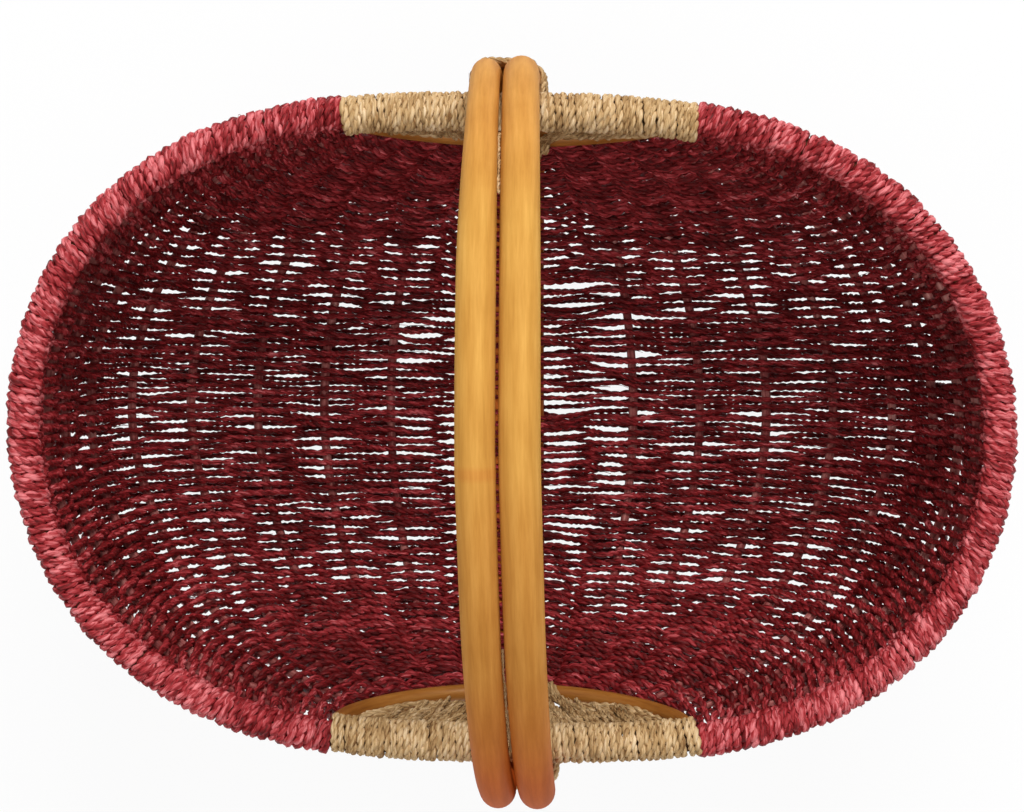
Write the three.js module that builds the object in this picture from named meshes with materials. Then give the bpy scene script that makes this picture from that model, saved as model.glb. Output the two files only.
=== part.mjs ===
// An oval market basket: a cane rim and a pair of cane hoops carry ribs, a woven wall and two corded ears.
// Millimetres, Z up. X runs along the basket, Y across it under the handle, and Z = 0 is where it stands.
import * as THREE from "three";

// Rim: one closed oval of round cane
const rimHalfLength = 232.5; // centre line, along X
const rimHalfWidth = 151.5; // centre line, along Y
const rimSquareness = 3; // power of the oval along X, where 2 is an ellipse
const rimHeight = 190; // centre line above the floor
const rimCaneRadius = 6;

// Handle: two full hoops side by side, the lower half of each serving as the keel
const hoopCaneRadius = 8.5;
const handleRise = 205.5; // top of the arch above the rim, centre lines
const keelFlatHalf = 45; // half of the straight stretch under the floor

// Ears: a bow under the rim at each end of the handle
const bowRadius = 4.25;
const bowHalfWidth = 84; // where the bow meets the rim
const bowDrop = 84; // from the rim down to where the bow crosses the hoops
const bodySideRoom = 2; // between a bow's end and the woven body
const panelThickness = 4.5;
const panelLastAngle = 0.16; // the panel stops this short of the bow's end, in radians

// Body: ribs from ear to ear and the woven wall outside them
const ribRadius = 2.5;
const ribsPerSide = 8;
const firstRibReach = 67; // from the keel to the first rib, along the floor
const wallThickness = 5;
const floorFlatHalf = 110; // flat stretch of the floor along X, each way
const endSquareness = 3.2; // power of the curve from floor to end wall
const keelBulgeHalf = 55; // the wall swells outward within this reach to pass the hoops

// Cords
const redWrapThickness = 3.7;
const strawCordRadius = 1.5;
const strawTurnGap = 0.6; // between neighbouring turns
const rimTurns = 23; // on each side of each ear, starting behind the hoops
const lashingTurns = 6;

// Fits: pieces that bear on each other stop this short of touching
const seat = 0.3;

// Facets
const rimEndSteps = 24; // round each end of the rim, under the red winding
const rimBandSteps = 8; // along each side of the rim, under the straw windings
const archSteps = 14;
const keelStations = 9; // on each half of the keel
const caneSides = 8;
const bowSteps = 14;
const bowSides = 6;
const ribSides = 5;
const cordSides = 4;
const panelColumns = 7;
const keelColumnShares = [0.28, 0.5, 0.75]; // wall columns on the way from the keel to the first rib
const lashingEighths = [-2, -1, 0, 1, 2, 2, 3, 4, 5, 6]; // of a turn: half round each cane
const normalStep = 0.004; // of the body's reach, for slopes measured by difference

// Sizes that follow
const redWrapRadius = rimCaneRadius + seat + redWrapThickness;
const strawPathRadius = rimCaneRadius + seat + strawCordRadius;
const strawWrapRadius = strawPathRadius + strawCordRadius;
const strawPitch = 2 * strawCordRadius + strawTurnGap;
const hoopOffset = hoopCaneRadius + seat / 2; // each hoop's plane from the middle
const hoopHalfWidth = rimHalfWidth + strawWrapRadius + seat + hoopCaneRadius;
const hoopLow = wallThickness + seat + hoopCaneRadius;
const hoopDepth = rimHeight - hoopLow;
const ribLow = wallThickness + seat + ribRadius;
const wallTop = rimHeight - redWrapRadius - seat;
const lashingReach = hoopOffset + hoopCaneRadius + 2 * seat + 2 * strawCordRadius;
const bandStart = strawCordRadius + seat / 2; // left and right straw meet in the middle
const bandEnd = bandStart + rimTurns * strawPitch + strawCordRadius + seat; // straw meets red here

const along = new THREE.Vector3(1, 0, 0);
const upward = new THREE.Vector3(0, 0, 1);

// Curves

function rimY(x) {
  return rimHalfWidth * Math.sqrt(1 - Math.pow(Math.abs(x) / rimHalfLength, rimSquareness));
}

function rimPoint(angle) {
  const c = Math.cos(angle);
  const x = rimHalfLength * Math.sign(c) * Math.pow(Math.abs(c), 2 / rimSquareness);
  return new THREE.Vector3(x, rimHalfWidth * Math.sin(angle), rimHeight);
}

// Angle at which the rim's oval reaches a given X
function rimAngleAt(x) {
  return Math.acos(Math.pow(x / rimHalfLength, rimSquareness / 2));
}

// Half of a hoop in its own plane, Y to the right and Z up: the keel, then the side up to the ear's bow
const crossingAngle = -Math.asin(bowDrop / hoopDepth);
const sideArc = new THREE.EllipseCurve(
  keelFlatHalf, rimHeight, hoopHalfWidth - keelFlatHalf, hoopDepth, -Math.PI / 2, crossingAngle);
const keelPath = new THREE.CurvePath();
keelPath.add(new THREE.LineCurve(new THREE.Vector2(0, hoopLow), new THREE.Vector2(keelFlatHalf, hoopLow)));
keelPath.add(sideArc);

// From the bow up past the rim, and over the arch to its top
const shoulderArc = new THREE.EllipseCurve(
  keelFlatHalf, rimHeight, hoopHalfWidth - keelFlatHalf, hoopDepth, crossingAngle, 0);
const handleArc = new THREE.EllipseCurve(0, rimHeight, hoopHalfWidth, handleRise, 0, Math.PI / 2);
const archPath = new THREE.CurvePath();
archPath.add(shoulderArc);
archPath.add(handleArc);

// Outward normal of a plane path, in Y and Z
function outward(path, t) {
  const tangent = path.getTangentAt(t);
  return new THREE.Vector2(tangent.y, -tangent.x);
}

// Middle of the bow: inside the hoops, where they cross
const crossing = keelPath.getPointAt(1);
const crossingOut = outward(keelPath, 1);
const bowStandOff = hoopCaneRadius + seat + bowRadius;
const bowMidY = crossing.x - crossingOut.x * bowStandOff;
const bowMidZ = crossing.y - crossingOut.y * bowStandOff;
const bowEndY = rimY(bowHalfWidth);

function bowPoint(angle, inset) {
  const lift = Math.sin(angle);
  return new THREE.Vector3(
    (bowHalfWidth - inset) * Math.cos(angle),
    bowEndY + (bowMidY - bowEndY) * lift * lift,
    wallTop - (wallTop - bowMidZ - inset) * lift);
}

// Body surface through the rib centres. Across runs from the left rim (-1) to the right rim (1),
// and along from the front ear (-1) to the back ear (1).
const earHalfWidth = bowHalfWidth + bowRadius + bodySideRoom;
const earLow = bowMidZ - bowRadius - 2 * seat;
const earEndY = rimY(earHalfWidth);

class EndSection extends THREE.Curve {
  getPoint(t) {
    const flatShare = 0.4; // of the curve's steps, spent on the flat stretch
    if (t < flatShare) return new THREE.Vector3((t / flatShare) * floorFlatHalf, 0, ribLow);
    const angle = (((t - flatShare) / (1 - flatShare)) * Math.PI) / 2;
    const power = 2 / endSquareness;
    const x = floorFlatHalf + (rimHalfLength - floorFlatHalf) * Math.pow(Math.sin(angle), power);
    const z = wallTop - (wallTop - ribLow) * Math.pow(Math.max(0, Math.cos(angle)), power);
    return new THREE.Vector3(x, 0, z);
  }
}
const endSection = new EndSection();

// Share of its greatest half length that an oval of the rim's width keeps at a given Y
function ovalShare(y, power) {
  return Math.pow(1 - Math.pow(y / rimHalfWidth, 2), 1 / power);
}

function bodyPoint(across, alongKeel) {
  const side = Math.sign(across);
  const end = Math.sign(alongKeel);
  const middle = endSection.getPointAt(Math.min(1, Math.abs(across)));
  const keel = keelPath.getPointAt(Math.min(1, Math.abs(alongKeel)));
  const angle = (Math.PI / 2) * (1 - Math.abs(across));
  const earX = earHalfWidth * Math.cos(angle);
  const earZ = wallTop - (wallTop - earLow) * Math.sin(angle);
  const earY = earEndY + (bowMidY - earEndY) * Math.sin(angle);
  const reach = keel.x / crossing.x;
  const depth = (crossing.y - keel.y) / (crossing.y - hoopLow);
  const power = THREE.MathUtils.lerp(2, rimSquareness, Math.abs(across));
  const earFullness = ovalShare(earEndY, power);
  const swell = (ovalShare(earEndY * reach, power) - earFullness) / (1 - earFullness);
  return new THREE.Vector3(
    side * (earX + (middle.x - earX) * swell),
    end * earY * reach,
    earZ + (middle.z - earZ) * depth);
}

// Outward normal of the body surface
function bodyNormal(across, alongKeel) {
  const left = bodyPoint(Math.max(-1, across - normalStep), alongKeel);
  const right = bodyPoint(Math.min(1, across + normalStep), alongKeel);
  const front = bodyPoint(across, Math.max(-1, alongKeel - normalStep));
  const back = bodyPoint(across, Math.min(1, alongKeel + normalStep));
  return back.sub(front).cross(right.sub(left)).normalize();
}

// Meshes

function geometryOf(vertices, triangles) {
  const geometry = new THREE.BufferGeometry();
  const numbers = vertices.flatMap((v) => v.toArray());
  geometry.setAttribute("position", new THREE.Float32BufferAttribute(numbers, 3));
  geometry.setIndex(triangles);
  geometry.computeVertexNormals();
  return geometry;
}

function tangentsOf(points, closed) {
  const last = points.length - 1;
  return points.map((point, i) => {
    const before = points[i > 0 ? i - 1 : closed ? last : 0];
    const after = points[i < last ? i + 1 : closed ? 0 : last];
    return after.clone().sub(before).normalize();
  });
}

// Rings of vertices round a line of points, each ring starting at its own upward direction
function ringsOf(points, ups, radius, sides, closed) {
  const tangents = tangentsOf(points, closed);
  return points.map((point, i) => {
    const up = ups[i].clone().addScaledVector(tangents[i], -ups[i].dot(tangents[i])).normalize();
    const beside = tangents[i].clone().cross(up);
    return Array.from({ length: sides }, (_, k) => {
      const angle = (2 * Math.PI * k) / sides;
      const lifted = point.clone().addScaledVector(up, radius * Math.cos(angle));
      return lifted.addScaledVector(beside, radius * Math.sin(angle));
    });
  });
}

function pushQuad(triangles, a, b, c, d) {
  triangles.push(a, b, c, a, c, d);
}

// A round bar along a line of points, with flat ends unless it closes on itself
function barGeometry(points, ups, radius, sides, closed = false) {
  const rings = ringsOf(points, ups, radius, sides, closed);
  const triangles = [];
  const count = rings.length;
  const spans = closed ? count : count - 1;
  for (let i = 0; i < spans; i++) {
    const here = i * sides;
    const next = ((i + 1) % count) * sides;
    for (let k = 0; k < sides; k++) {
      const turn = (k + 1) % sides;
      pushQuad(triangles, here + k, here + turn, next + turn, next + k);
    }
  }
  if (!closed) {
    const last = (count - 1) * sides;
    for (let k = 1; k < sides - 1; k++) {
      triangles.push(0, k + 1, k);
      triangles.push(last, last + k, last + k + 1);
    }
  }
  return geometryOf(rings.flat(), triangles);
}

// A sleeve along a line of points: an outer and an inner skin joined at both ends
function sleeveGeometry(points, ups, innerRadius, outerRadius, sides) {
  const outer = ringsOf(points, ups, outerRadius, sides, false).flat();
  const inner = ringsOf(points, ups, innerRadius, sides, false).flat();
  const triangles = [];
  const shift = outer.length;
  const last = (points.length - 1) * sides;
  for (let k = 0; k < sides; k++) {
    const turn = (k + 1) % sides;
    for (let here = 0; here < last; here += sides) {
      const next = here + sides;
      pushQuad(triangles, here + k, here + turn, next + turn, next + k);
      pushQuad(triangles, shift + here + k, shift + next + k, shift + next + turn, shift + here + turn);
    }
    pushQuad(triangles, k, shift + k, shift + turn, turn);
    pushQuad(triangles, last + k, last + turn, shift + last + turn, shift + last + k);
  }
  return geometryOf([...outer, ...inner], triangles);
}

// A shell between two grids of points with the same rows and columns, closed round its edge.
// Turning from a column to a row is anticlockwise as seen from the upper grid's side.
function shellGeometry(lower, upper) {
  const columns = lower.length;
  const rows = lower[0].length;
  const shift = columns * rows;
  const at = (i, j) => i * rows + j;
  const triangles = [];
  for (let i = 0; i + 1 < columns; i++) {
    for (let j = 0; j + 1 < rows; j++) {
      const corners = [at(i, j), at(i, j + 1), at(i + 1, j + 1), at(i + 1, j)];
      const [a, b, c, d] = corners.map((corner) => shift + corner);
      pushQuad(triangles, ...corners);
      pushQuad(triangles, a, d, c, b);
    }
  }
  const seam = (a, b) => pushQuad(triangles, a, b, shift + b, shift + a);
  for (let i = 0; i + 1 < columns; i++) {
    seam(at(i, 0), at(i + 1, 0));
    seam(at(i + 1, rows - 1), at(i, rows - 1));
  }
  for (let j = 0; j + 1 < rows; j++) {
    seam(at(0, j + 1), at(0, j));
    seam(at(columns - 1, j), at(columns - 1, j + 1));
  }
  return geometryOf([...lower.flat(), ...upper.flat()], triangles);
}

// The least gap between neighbouring turns of a wound cord, measured on its points
function leastTurnGap(points, stepsPerTurn, cordRadius) {
  let least = Infinity;
  points.forEach((point, i) => {
    for (let j = i + Math.ceil(stepsPerTurn / 2); j < points.length; j++) {
      least = Math.min(least, point.distanceTo(points[j]) - 2 * cordRadius);
    }
  });
  return least;
}

const materials = {
  rimCane: new THREE.MeshStandardMaterial({ color: 0xb98a4e, roughness: 0.6, metalness: 0 }),
  hoopCane: new THREE.MeshStandardMaterial({ color: 0xc98a35, roughness: 0.38, metalness: 0 }),
  bowCane: new THREE.MeshStandardMaterial({ color: 0xa8701f, roughness: 0.45, metalness: 0 }),
  rib: new THREE.MeshStandardMaterial({ color: 0x9c5a4c, roughness: 0.7, metalness: 0 }),
  redGrass: new THREE.MeshStandardMaterial({ color: 0x8c1a30, roughness: 0.72, metalness: 0 }),
  straw: new THREE.MeshStandardMaterial({ color: 0xb99c66, roughness: 0.75, metalness: 0 }),
};

const basket = new THREE.Group();

function addPiece(name, geometry, material) {
  const mesh = new THREE.Mesh(geometry, material.clone());
  mesh.name = name;
  basket.add(mesh);
}

const sides = [["left", -1], ["right", 1]];
const ears = [["front", -1], ["back", 1]];

// Rim hoop

const bandAngle = rimAngleAt(bandEnd);
const spread = (from, to, steps) =>
  Array.from({ length: steps + 1 }, (_, i) => THREE.MathUtils.lerp(from, to, i / steps));
const endAngles = spread(-bandAngle, bandAngle, rimEndSteps);
const bandAngles = spread(bandAngle, Math.PI - bandAngle, rimBandSteps).slice(1, -1);
const halfRimAngles = [...endAngles, ...bandAngles];
const rimPoints = [...halfRimAngles, ...halfRimAngles.map((angle) => angle + Math.PI)].map(rimPoint);
const rimUps = rimPoints.map(() => upward);
addPiece("rim_hoop", barGeometry(rimPoints, rimUps, rimCaneRadius, caneSides, true), materials.rimCane);

// Handle hoops

const keelShares = Array.from({ length: keelStations + 1 }, (_, i) => i / keelStations);
const keelSide = keelShares.map((share) => keelPath.getPointAt(share));
const archSide = Array.from({ length: archSteps }, (_, i) => archPath.getPointAt((i + 1) / archSteps));
const hoopHalf = [...keelSide, ...archSide];
const hoopOtherHalf = hoopHalf.slice(1, -1).reverse().map((p) => new THREE.Vector2(-p.x, p.y));
for (const [side, sign] of sides) {
  const points = [...hoopHalf, ...hoopOtherHalf].map((p) => new THREE.Vector3(sign * hoopOffset, p.x, p.y));
  const geometry = barGeometry(points, points.map(() => along), hoopCaneRadius, caneSides, true);
  addPiece(`handle_hoop_${side}`, geometry, materials.hoopCane);
}

// Ear bows

for (const [ear, sign] of ears) {
  const points = Array.from({ length: bowSteps + 1 }, (_, i) => bowPoint((Math.PI * i) / bowSteps, 0));
  points.forEach((p) => p.setY(sign * p.y));
  const across = new THREE.Vector3(0, sign, 0);
  const geometry = barGeometry(points, points.map(() => across), bowRadius, bowSides);
  addPiece(`ear_bow_${ear}`, geometry, materials.bowCane);
}

// Ribs, spaced evenly from the first one to the rim

const sectionLength = endSection.getLength();
const ribSpacing = (sectionLength - firstRibReach) / ribsPerSide;
const ribReach = (i) => firstRibReach + i * ribSpacing;
const ribShares = Array.from({ length: ribsPerSide }, (_, i) => ribReach(i) / sectionLength);
const stations = [...keelShares.slice(1).reverse().map((share) => -share), ...keelShares];
for (const [side, sign] of sides) {
  ribShares.forEach((share, i) => {
    const points = stations.map((station) => bodyPoint(sign * share, station));
    const ups = stations.map((station) => bodyNormal(sign * share, station));
    addPiece(`rib_${side}_${i + 1}`, barGeometry(points, ups, ribRadius, ribSides), materials.rib);
  });
}

// Woven wall: outside the ribs, swelling outward near the keel so that it passes outside the hoops too

function keelSwell(x) {
  const inner = hoopOffset + hoopCaneRadius + seat;
  return 1 - THREE.MathUtils.smoothstep(Math.abs(x), inner, keelBulgeHalf);
}

function wallPoint(across, station, depth) {
  const point = bodyPoint(across, station);
  const normal = bodyNormal(across, station);
  const keel = bodyPoint(0, station);
  const keelNormal = bodyNormal(0, station);
  const hoop = keelPath.getPointAt(Math.abs(station));
  const hoopOut = outward(keelPath, Math.abs(station));
  const end = Math.sign(station) || 1;
  const stand = hoopCaneRadius + seat;
  const hoopFace = new THREE.Vector3(0, end * (hoop.x + hoopOut.x * stand), hoop.y + hoopOut.y * stand);
  const ribFace = keel.clone().addScaledVector(keelNormal, ribRadius + seat);
  const swell = hoopFace.sub(ribFace).multiplyScalar(keelSwell(point.x));
  return point.addScaledVector(normal, ribRadius + seat + depth).add(swell);
}

const halfColumns = keelColumnShares.map((share) => share * ribShares[0]);
ribShares.forEach((share, i) => {
  const next = i + 1 < ribsPerSide ? ribShares[i + 1] : 1;
  halfColumns.push(share, (share + next) / 2);
});
halfColumns.push(1);
const wallColumns = [...halfColumns.slice().reverse().map((share) => -share), 0, ...halfColumns];
const wallGrid = (depth) =>
  wallColumns.map((across) => stations.map((station) => wallPoint(across, station, depth)));
addPiece("woven_wall", shellGeometry(wallGrid(wallThickness), wallGrid(0)), materials.redGrass);

// Red rim windings: the wall's rows turning round the rim, about a hundred of them at each end, as one sleeve

for (const [side, sign] of sides) {
  const points = endAngles.map(rimPoint);
  points.forEach((p) => p.set(sign * p.x, sign * p.y, p.z));
  const ups = points.map(() => upward);
  const geometry = sleeveGeometry(points, ups, rimCaneRadius + seat, redWrapRadius, caneSides);
  addPiece(`red_rim_winding_${side}`, geometry, materials.redGrass);
}

// Straw rim windings: a cord on each side of each ear, turn by turn, from behind the hoops outward

let leastGap = Infinity;
for (const [ear, earSign] of ears) {
  for (const [side, sideSign] of sides) {
    const points = [];
    const ups = [];
    for (let i = 0; i <= rimTurns * caneSides; i++) {
      const angle = (2 * Math.PI * i) / caneSides;
      const x = sideSign * (bandStart + (strawPitch * i) / caneSides);
      const slope = (rimY(x + 1) - rimY(x - 1)) / 2;
      const outwards = new THREE.Vector3(-slope, earSign, 0).normalize();
      const up = outwards.multiplyScalar(Math.sin(angle)).addScaledVector(upward, Math.cos(angle));
      const centre = new THREE.Vector3(x, earSign * rimY(x), rimHeight);
      points.push(centre.addScaledVector(up, strawPathRadius));
      ups.push(up);
    }
    leastGap = Math.min(leastGap, leastTurnGap(points, caneSides, strawCordRadius));
    const geometry = barGeometry(points, ups, strawCordRadius, cordSides);
    addPiece(`straw_rim_winding_${ear}_${side}`, geometry, materials.straw);
  }
}
console.log(`straw rim windings: least gap between turns ${leastGap.toFixed(2)} mm`);

// Handle lashings: a cord round both hoops, midway between bow and rim

const lashingPathRadius = hoopCaneRadius + 2 * seat + strawCordRadius;
const lashingLength = lashingTurns * strawPitch;
const shoulderLength = shoulderArc.getLength();
leastGap = Infinity;
for (const [ear, earSign] of ears) {
  const points = [];
  const ups = [];
  const steps = lashingTurns * lashingEighths.length;
  for (let i = 0; i <= steps; i++) {
    const eighth = lashingEighths[i % lashingEighths.length];
    const share = 0.5 + (lashingLength * (i / steps - 0.5)) / shoulderLength;
    const hoop = shoulderArc.getPointAt(share);
    const hoopOut = outward(shoulderArc, share);
    const angle = (Math.PI / 4) * eighth;
    const caneX = i % lashingEighths.length < lashingEighths.length / 2 ? hoopOffset : -hoopOffset;
    const up = new THREE.Vector3(
      Math.cos(angle), earSign * hoopOut.x * Math.sin(angle), hoopOut.y * Math.sin(angle));
    const centre = new THREE.Vector3(caneX, earSign * hoop.x, hoop.y);
    points.push(centre.addScaledVector(up, lashingPathRadius));
    ups.push(up);
  }
  leastGap = Math.min(leastGap, leastTurnGap(points, lashingEighths.length, strawCordRadius));
  addPiece(`handle_lashing_${ear}`, barGeometry(points, ups, strawCordRadius, cordSides), materials.straw);
}
console.log(`handle lashings: least gap between turns ${leastGap.toFixed(2)} mm`);

// Ear panels: woven straw between the rim and the bow, left and right of the hoops

const panelTop = rimHeight - strawWrapRadius - seat;
const panelInset = bowRadius + seat;
const panelStart = lashingReach + 2 * seat;
const panelFirstAngle = Math.acos(panelStart / (bowHalfWidth - panelInset));
for (const [ear, earSign] of ears) {
  for (const [side, sideSign] of sides) {
    const face = (offset) => Array.from({ length: panelColumns }, (_, i) => {
      const angle = THREE.MathUtils.lerp(panelFirstAngle, panelLastAngle, i / (panelColumns - 1));
      const low = bowPoint(angle, panelInset);
      const topY = THREE.MathUtils.lerp(low.y, rimY(low.x), (panelTop - low.z) / (rimHeight - low.z));
      const top = new THREE.Vector3(low.x, topY, panelTop);
      const pair = [low, top];
      return pair.map((p) => new THREE.Vector3(sideSign * p.x, earSign * (p.y + offset), p.z));
    });
    const outer = face(panelThickness / 2);
    const inner = face(-panelThickness / 2);
    const turned = earSign * sideSign < 0;
    const geometry = turned ? shellGeometry(inner, outer) : shellGeometry(outer, inner);
    addPiece(`ear_panel_${ear}_${side}`, geometry, materials.straw);
  }
}

export default basket;
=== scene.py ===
import math
import bpy
import numpy as np
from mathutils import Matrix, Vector


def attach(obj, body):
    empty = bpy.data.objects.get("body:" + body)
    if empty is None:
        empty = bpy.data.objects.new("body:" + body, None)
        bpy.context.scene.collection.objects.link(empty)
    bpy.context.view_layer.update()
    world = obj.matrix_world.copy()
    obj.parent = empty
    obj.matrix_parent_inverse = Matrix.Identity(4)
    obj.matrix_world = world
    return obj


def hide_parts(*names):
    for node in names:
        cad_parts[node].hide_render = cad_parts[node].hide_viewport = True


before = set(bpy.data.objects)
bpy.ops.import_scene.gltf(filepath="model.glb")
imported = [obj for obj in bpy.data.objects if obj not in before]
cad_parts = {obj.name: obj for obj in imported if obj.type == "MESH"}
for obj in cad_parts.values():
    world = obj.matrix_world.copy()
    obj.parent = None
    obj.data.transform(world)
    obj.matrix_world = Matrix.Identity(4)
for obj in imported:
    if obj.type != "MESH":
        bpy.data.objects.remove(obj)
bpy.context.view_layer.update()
rng = np.random.default_rng(11)

# Sizes of the frame in millimetres, Z up from the table. All curves below follow from these.
rim = dict(long=232.5, wide=151.5, power=3.0, z=190.0, cane=6.0, redWrap=3.7, strawWrap=3.3)
hoop = dict(cane=8.5, rise=205.5, flat=45.0)
bow = dict(cane=4.25, wide=84.0, drop=84.0)
basket = dict(rib=2.5, ribs=8, firstRib=67.0, floor=110.0, endPower=3.2, wall=5.0, seat=0.3, sideRoom=2.0)
curvePoints = dict(keelFlat=90, keelSide=400, floorFlat=100, endWall=3000)

hoopOut = rim["wide"] + rim["cane"] + rim["strawWrap"] + basket["seat"] + hoop["cane"]
hoopLow = basket["wall"] + basket["seat"] + hoop["cane"]
hoopDeep = rim["z"] - hoopLow
ribLow = basket["wall"] + basket["seat"] + basket["rib"]
wallTop = rim["z"] - rim["cane"] - rim["redWrap"] - 2 * basket["seat"]

# A handmade basket is never quite true: the rim is a little askew and the handle leans to the left
askew = dict(rim=0.0125, lowest=0.4, archAt=(0, 20, 40, 62, 90, 132, 160, 180),
             archBy=(3.0, 2.2, -0.8, -3.9, -6.2, -5.6, -4.9, -4.3))


# sideways shift of the handle, by the angle along its arch from the front
def handleShift(y, z):
    turn = np.degrees(np.arctan2(np.clip(z - rim["z"], 0, None) / hoop["rise"], -y / hoopOut))
    above = np.clip((z / rim["z"] - askew["lowest"]) / (1 - askew["lowest"]), 0, 1)
    return np.interp(turn, askew["archAt"], askew["archBy"]) * above


def rimY(x):
    return rim["wide"] * np.sqrt(np.clip(1 - (np.abs(x) / rim["long"]) ** rim["power"], 0, None))


def lengths(points):
    return np.concatenate([[0], np.cumsum(np.linalg.norm(np.diff(points, axis=0), axis=1))])


# half of the keel in Y and Z, from under the middle up to the bow
crossAngle = -math.asin(bow["drop"] / hoopDeep)
sideAngles = np.linspace(-math.pi / 2, crossAngle, curvePoints["keelSide"])
sideY = hoop["flat"] + (hoopOut - hoop["flat"]) * np.cos(sideAngles)
sideZ = rim["z"] + hoopDeep * np.sin(sideAngles)
flatY = np.linspace(0, hoop["flat"], curvePoints["keelFlat"])[:-1]
keelLine = np.column_stack([np.r_[flatY, sideY], np.r_[np.full(len(flatY), hoopLow), sideZ]])
keelLength = lengths(keelLine)[-1]
keelShare = lengths(keelLine) / keelLength
keelOut = np.gradient(keelLine, axis=0)[:, ::-1] * [1, -1]
keelOut /= np.linalg.norm(keelOut, axis=1)[:, None]
crossY, crossZ = keelLine[-1]
bowStand = hoop["cane"] + basket["seat"] + bow["cane"]
bowMidY = crossY - keelOut[-1, 0] * bowStand
bowMidZ = crossZ - keelOut[-1, 1] * bowStand

# half of the middle section in X and Z, from the floor up to the rim
endAngles = np.linspace(0, math.pi / 2, curvePoints["endWall"])
endX = basket["floor"] + (rim["long"] - basket["floor"]) * np.sin(endAngles) ** (2 / basket["endPower"])
endZ = wallTop - (wallTop - ribLow) * np.clip(np.cos(endAngles), 0, None) ** (2 / basket["endPower"])
floorX = np.linspace(0, basket["floor"], curvePoints["floorFlat"])[:-1]
endLine = np.column_stack([np.r_[floorX, endX], np.r_[np.full(len(floorX), ribLow), endZ]])
endLength = lengths(endLine)[-1]
endShare = lengths(endLine) / endLength
ribGap = (endLength - basket["firstRib"]) / basket["ribs"]
ribShares = (basket["firstRib"] + ribGap * np.arange(basket["ribs"])) / endLength

earHalf = bow["wide"] + bow["cane"] + basket["sideRoom"]
earLow = bowMidZ - bow["cane"] - 2 * basket["seat"]
earEndY = rimY(earHalf)


def ovalShare(y, power):
    return np.clip(1 - (y / rim["wide"]) ** 2, 0, None) ** (1 / power)


# Surface through the rib centres: across from the left rim (-1) to the right (1),
# and along from the front ear (-1) to the back (1)
def bodyPoint(across, along):
    a = np.clip(np.abs(across), 0, 1)
    w = np.clip(np.abs(along), 0, 1)
    midX = np.interp(a, endShare, endLine[:, 0])
    midZ = np.interp(a, endShare, endLine[:, 1])
    keelY = np.interp(w, keelShare, keelLine[:, 0])
    keelZ = np.interp(w, keelShare, keelLine[:, 1])
    lift = np.sin(math.pi / 2 * (1 - a))
    earX = earHalf * np.cos(math.pi / 2 * (1 - a))
    earZ = wallTop - (wallTop - earLow) * lift
    earY = earEndY + (bowMidY - earEndY) * lift
    reach = keelY / crossY
    depth = (crossZ - keelZ) / (crossZ - hoopLow)
    power = 2 + (rim["power"] - 2) * a
    full = ovalShare(earEndY, power)
    swell = (ovalShare(earEndY * reach, power) - full) / (1 - full)
    return np.stack([np.sign(across) * (earX + (midX - earX) * swell),
                     np.sign(along) * earY * reach,
                     earZ + (midZ - earZ) * depth], axis=-1)


def bodyNormal(across, along, step=0.006):
    right = bodyPoint(np.minimum(across + step, 1), along) - bodyPoint(np.maximum(across - step, -1), along)
    back = bodyPoint(across, np.minimum(along + step, 1)) - bodyPoint(across, np.maximum(along - step, -1))
    normal = np.cross(back, right)
    return normal / np.maximum(np.linalg.norm(normal, axis=-1, keepdims=True), 1e-9)


def smoothstep(low, high, x):
    t = np.clip((x - low) / (high - low), 0, 1)
    return t * t * (3 - 2 * t)


# same line with evenly spaced points; columns past the third ride along
def evenly(points, count):
    s = lengths(points[:, :3])
    at = np.linspace(0, s[-1], count)
    return np.column_stack([np.interp(at, s, column) for column in points.T]), s[-1]


def relax(points, times):
    points = points.copy()
    for _ in range(times):
        points[1:-1] = 0.25 * points[:-2] + 0.5 * points[1:-1] + 0.25 * points[2:]
    return points


# slow wander along a line, a few beats long, between about -1 and 1
def wander(count, beats):
    knots = rng.uniform(-1, 1, beats + 3)
    return np.interp(np.linspace(0, beats, count), np.arange(beats + 3), knots)


def newMesh(name, verts, quads, uv, tone):
    verts = verts - verts[:, :1] * [0, askew["rim"], 0]
    mesh = bpy.data.meshes.new(name)
    mesh.vertices.add(len(verts))
    mesh.vertices.foreach_set("co", (verts * 0.001).astype(np.float32).ravel())
    mesh.loops.add(quads.size)
    mesh.loops.foreach_set("vertex_index", quads.astype(np.int32).ravel())
    mesh.polygons.add(len(quads))
    mesh.polygons.foreach_set("loop_start", np.arange(0, quads.size, 4, dtype=np.int32))
    mesh.update(calc_edges=True)
    mesh.shade_smooth()
    mesh.uv_layers.new(name="fibre").data.foreach_set("uv", uv.astype(np.float32).ravel())
    mesh.attributes.new("tone", "FLOAT", "POINT").data.foreach_set("value", tone.astype(np.float32))
    return mesh


# tangent and two directions across it, carried along the line without twisting
def framesAlong(line, closed=False):
    if closed:
        tangent = np.roll(line, -1, axis=0) - np.roll(line, 1, axis=0)
    else:
        tangent = np.gradient(line, axis=0)
    tangent /= np.maximum(np.linalg.norm(tangent, axis=1), 1e-9)[:, None]
    side = np.zeros_like(line)
    first = np.array([0, 0, 1.0]) if abs(tangent[0, 2]) < 0.9 else np.array([1.0, 0, 0])
    side[0] = first - tangent[0] * np.dot(first, tangent[0])
    side[0] /= np.linalg.norm(side[0])
    for i in range(1, len(line)):
        carried = side[i - 1] - tangent[i] * np.dot(side[i - 1], tangent[i])
        side[i] = carried / math.sqrt(np.dot(carried, carried))
    return side, np.cross(tangent, side)


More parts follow.
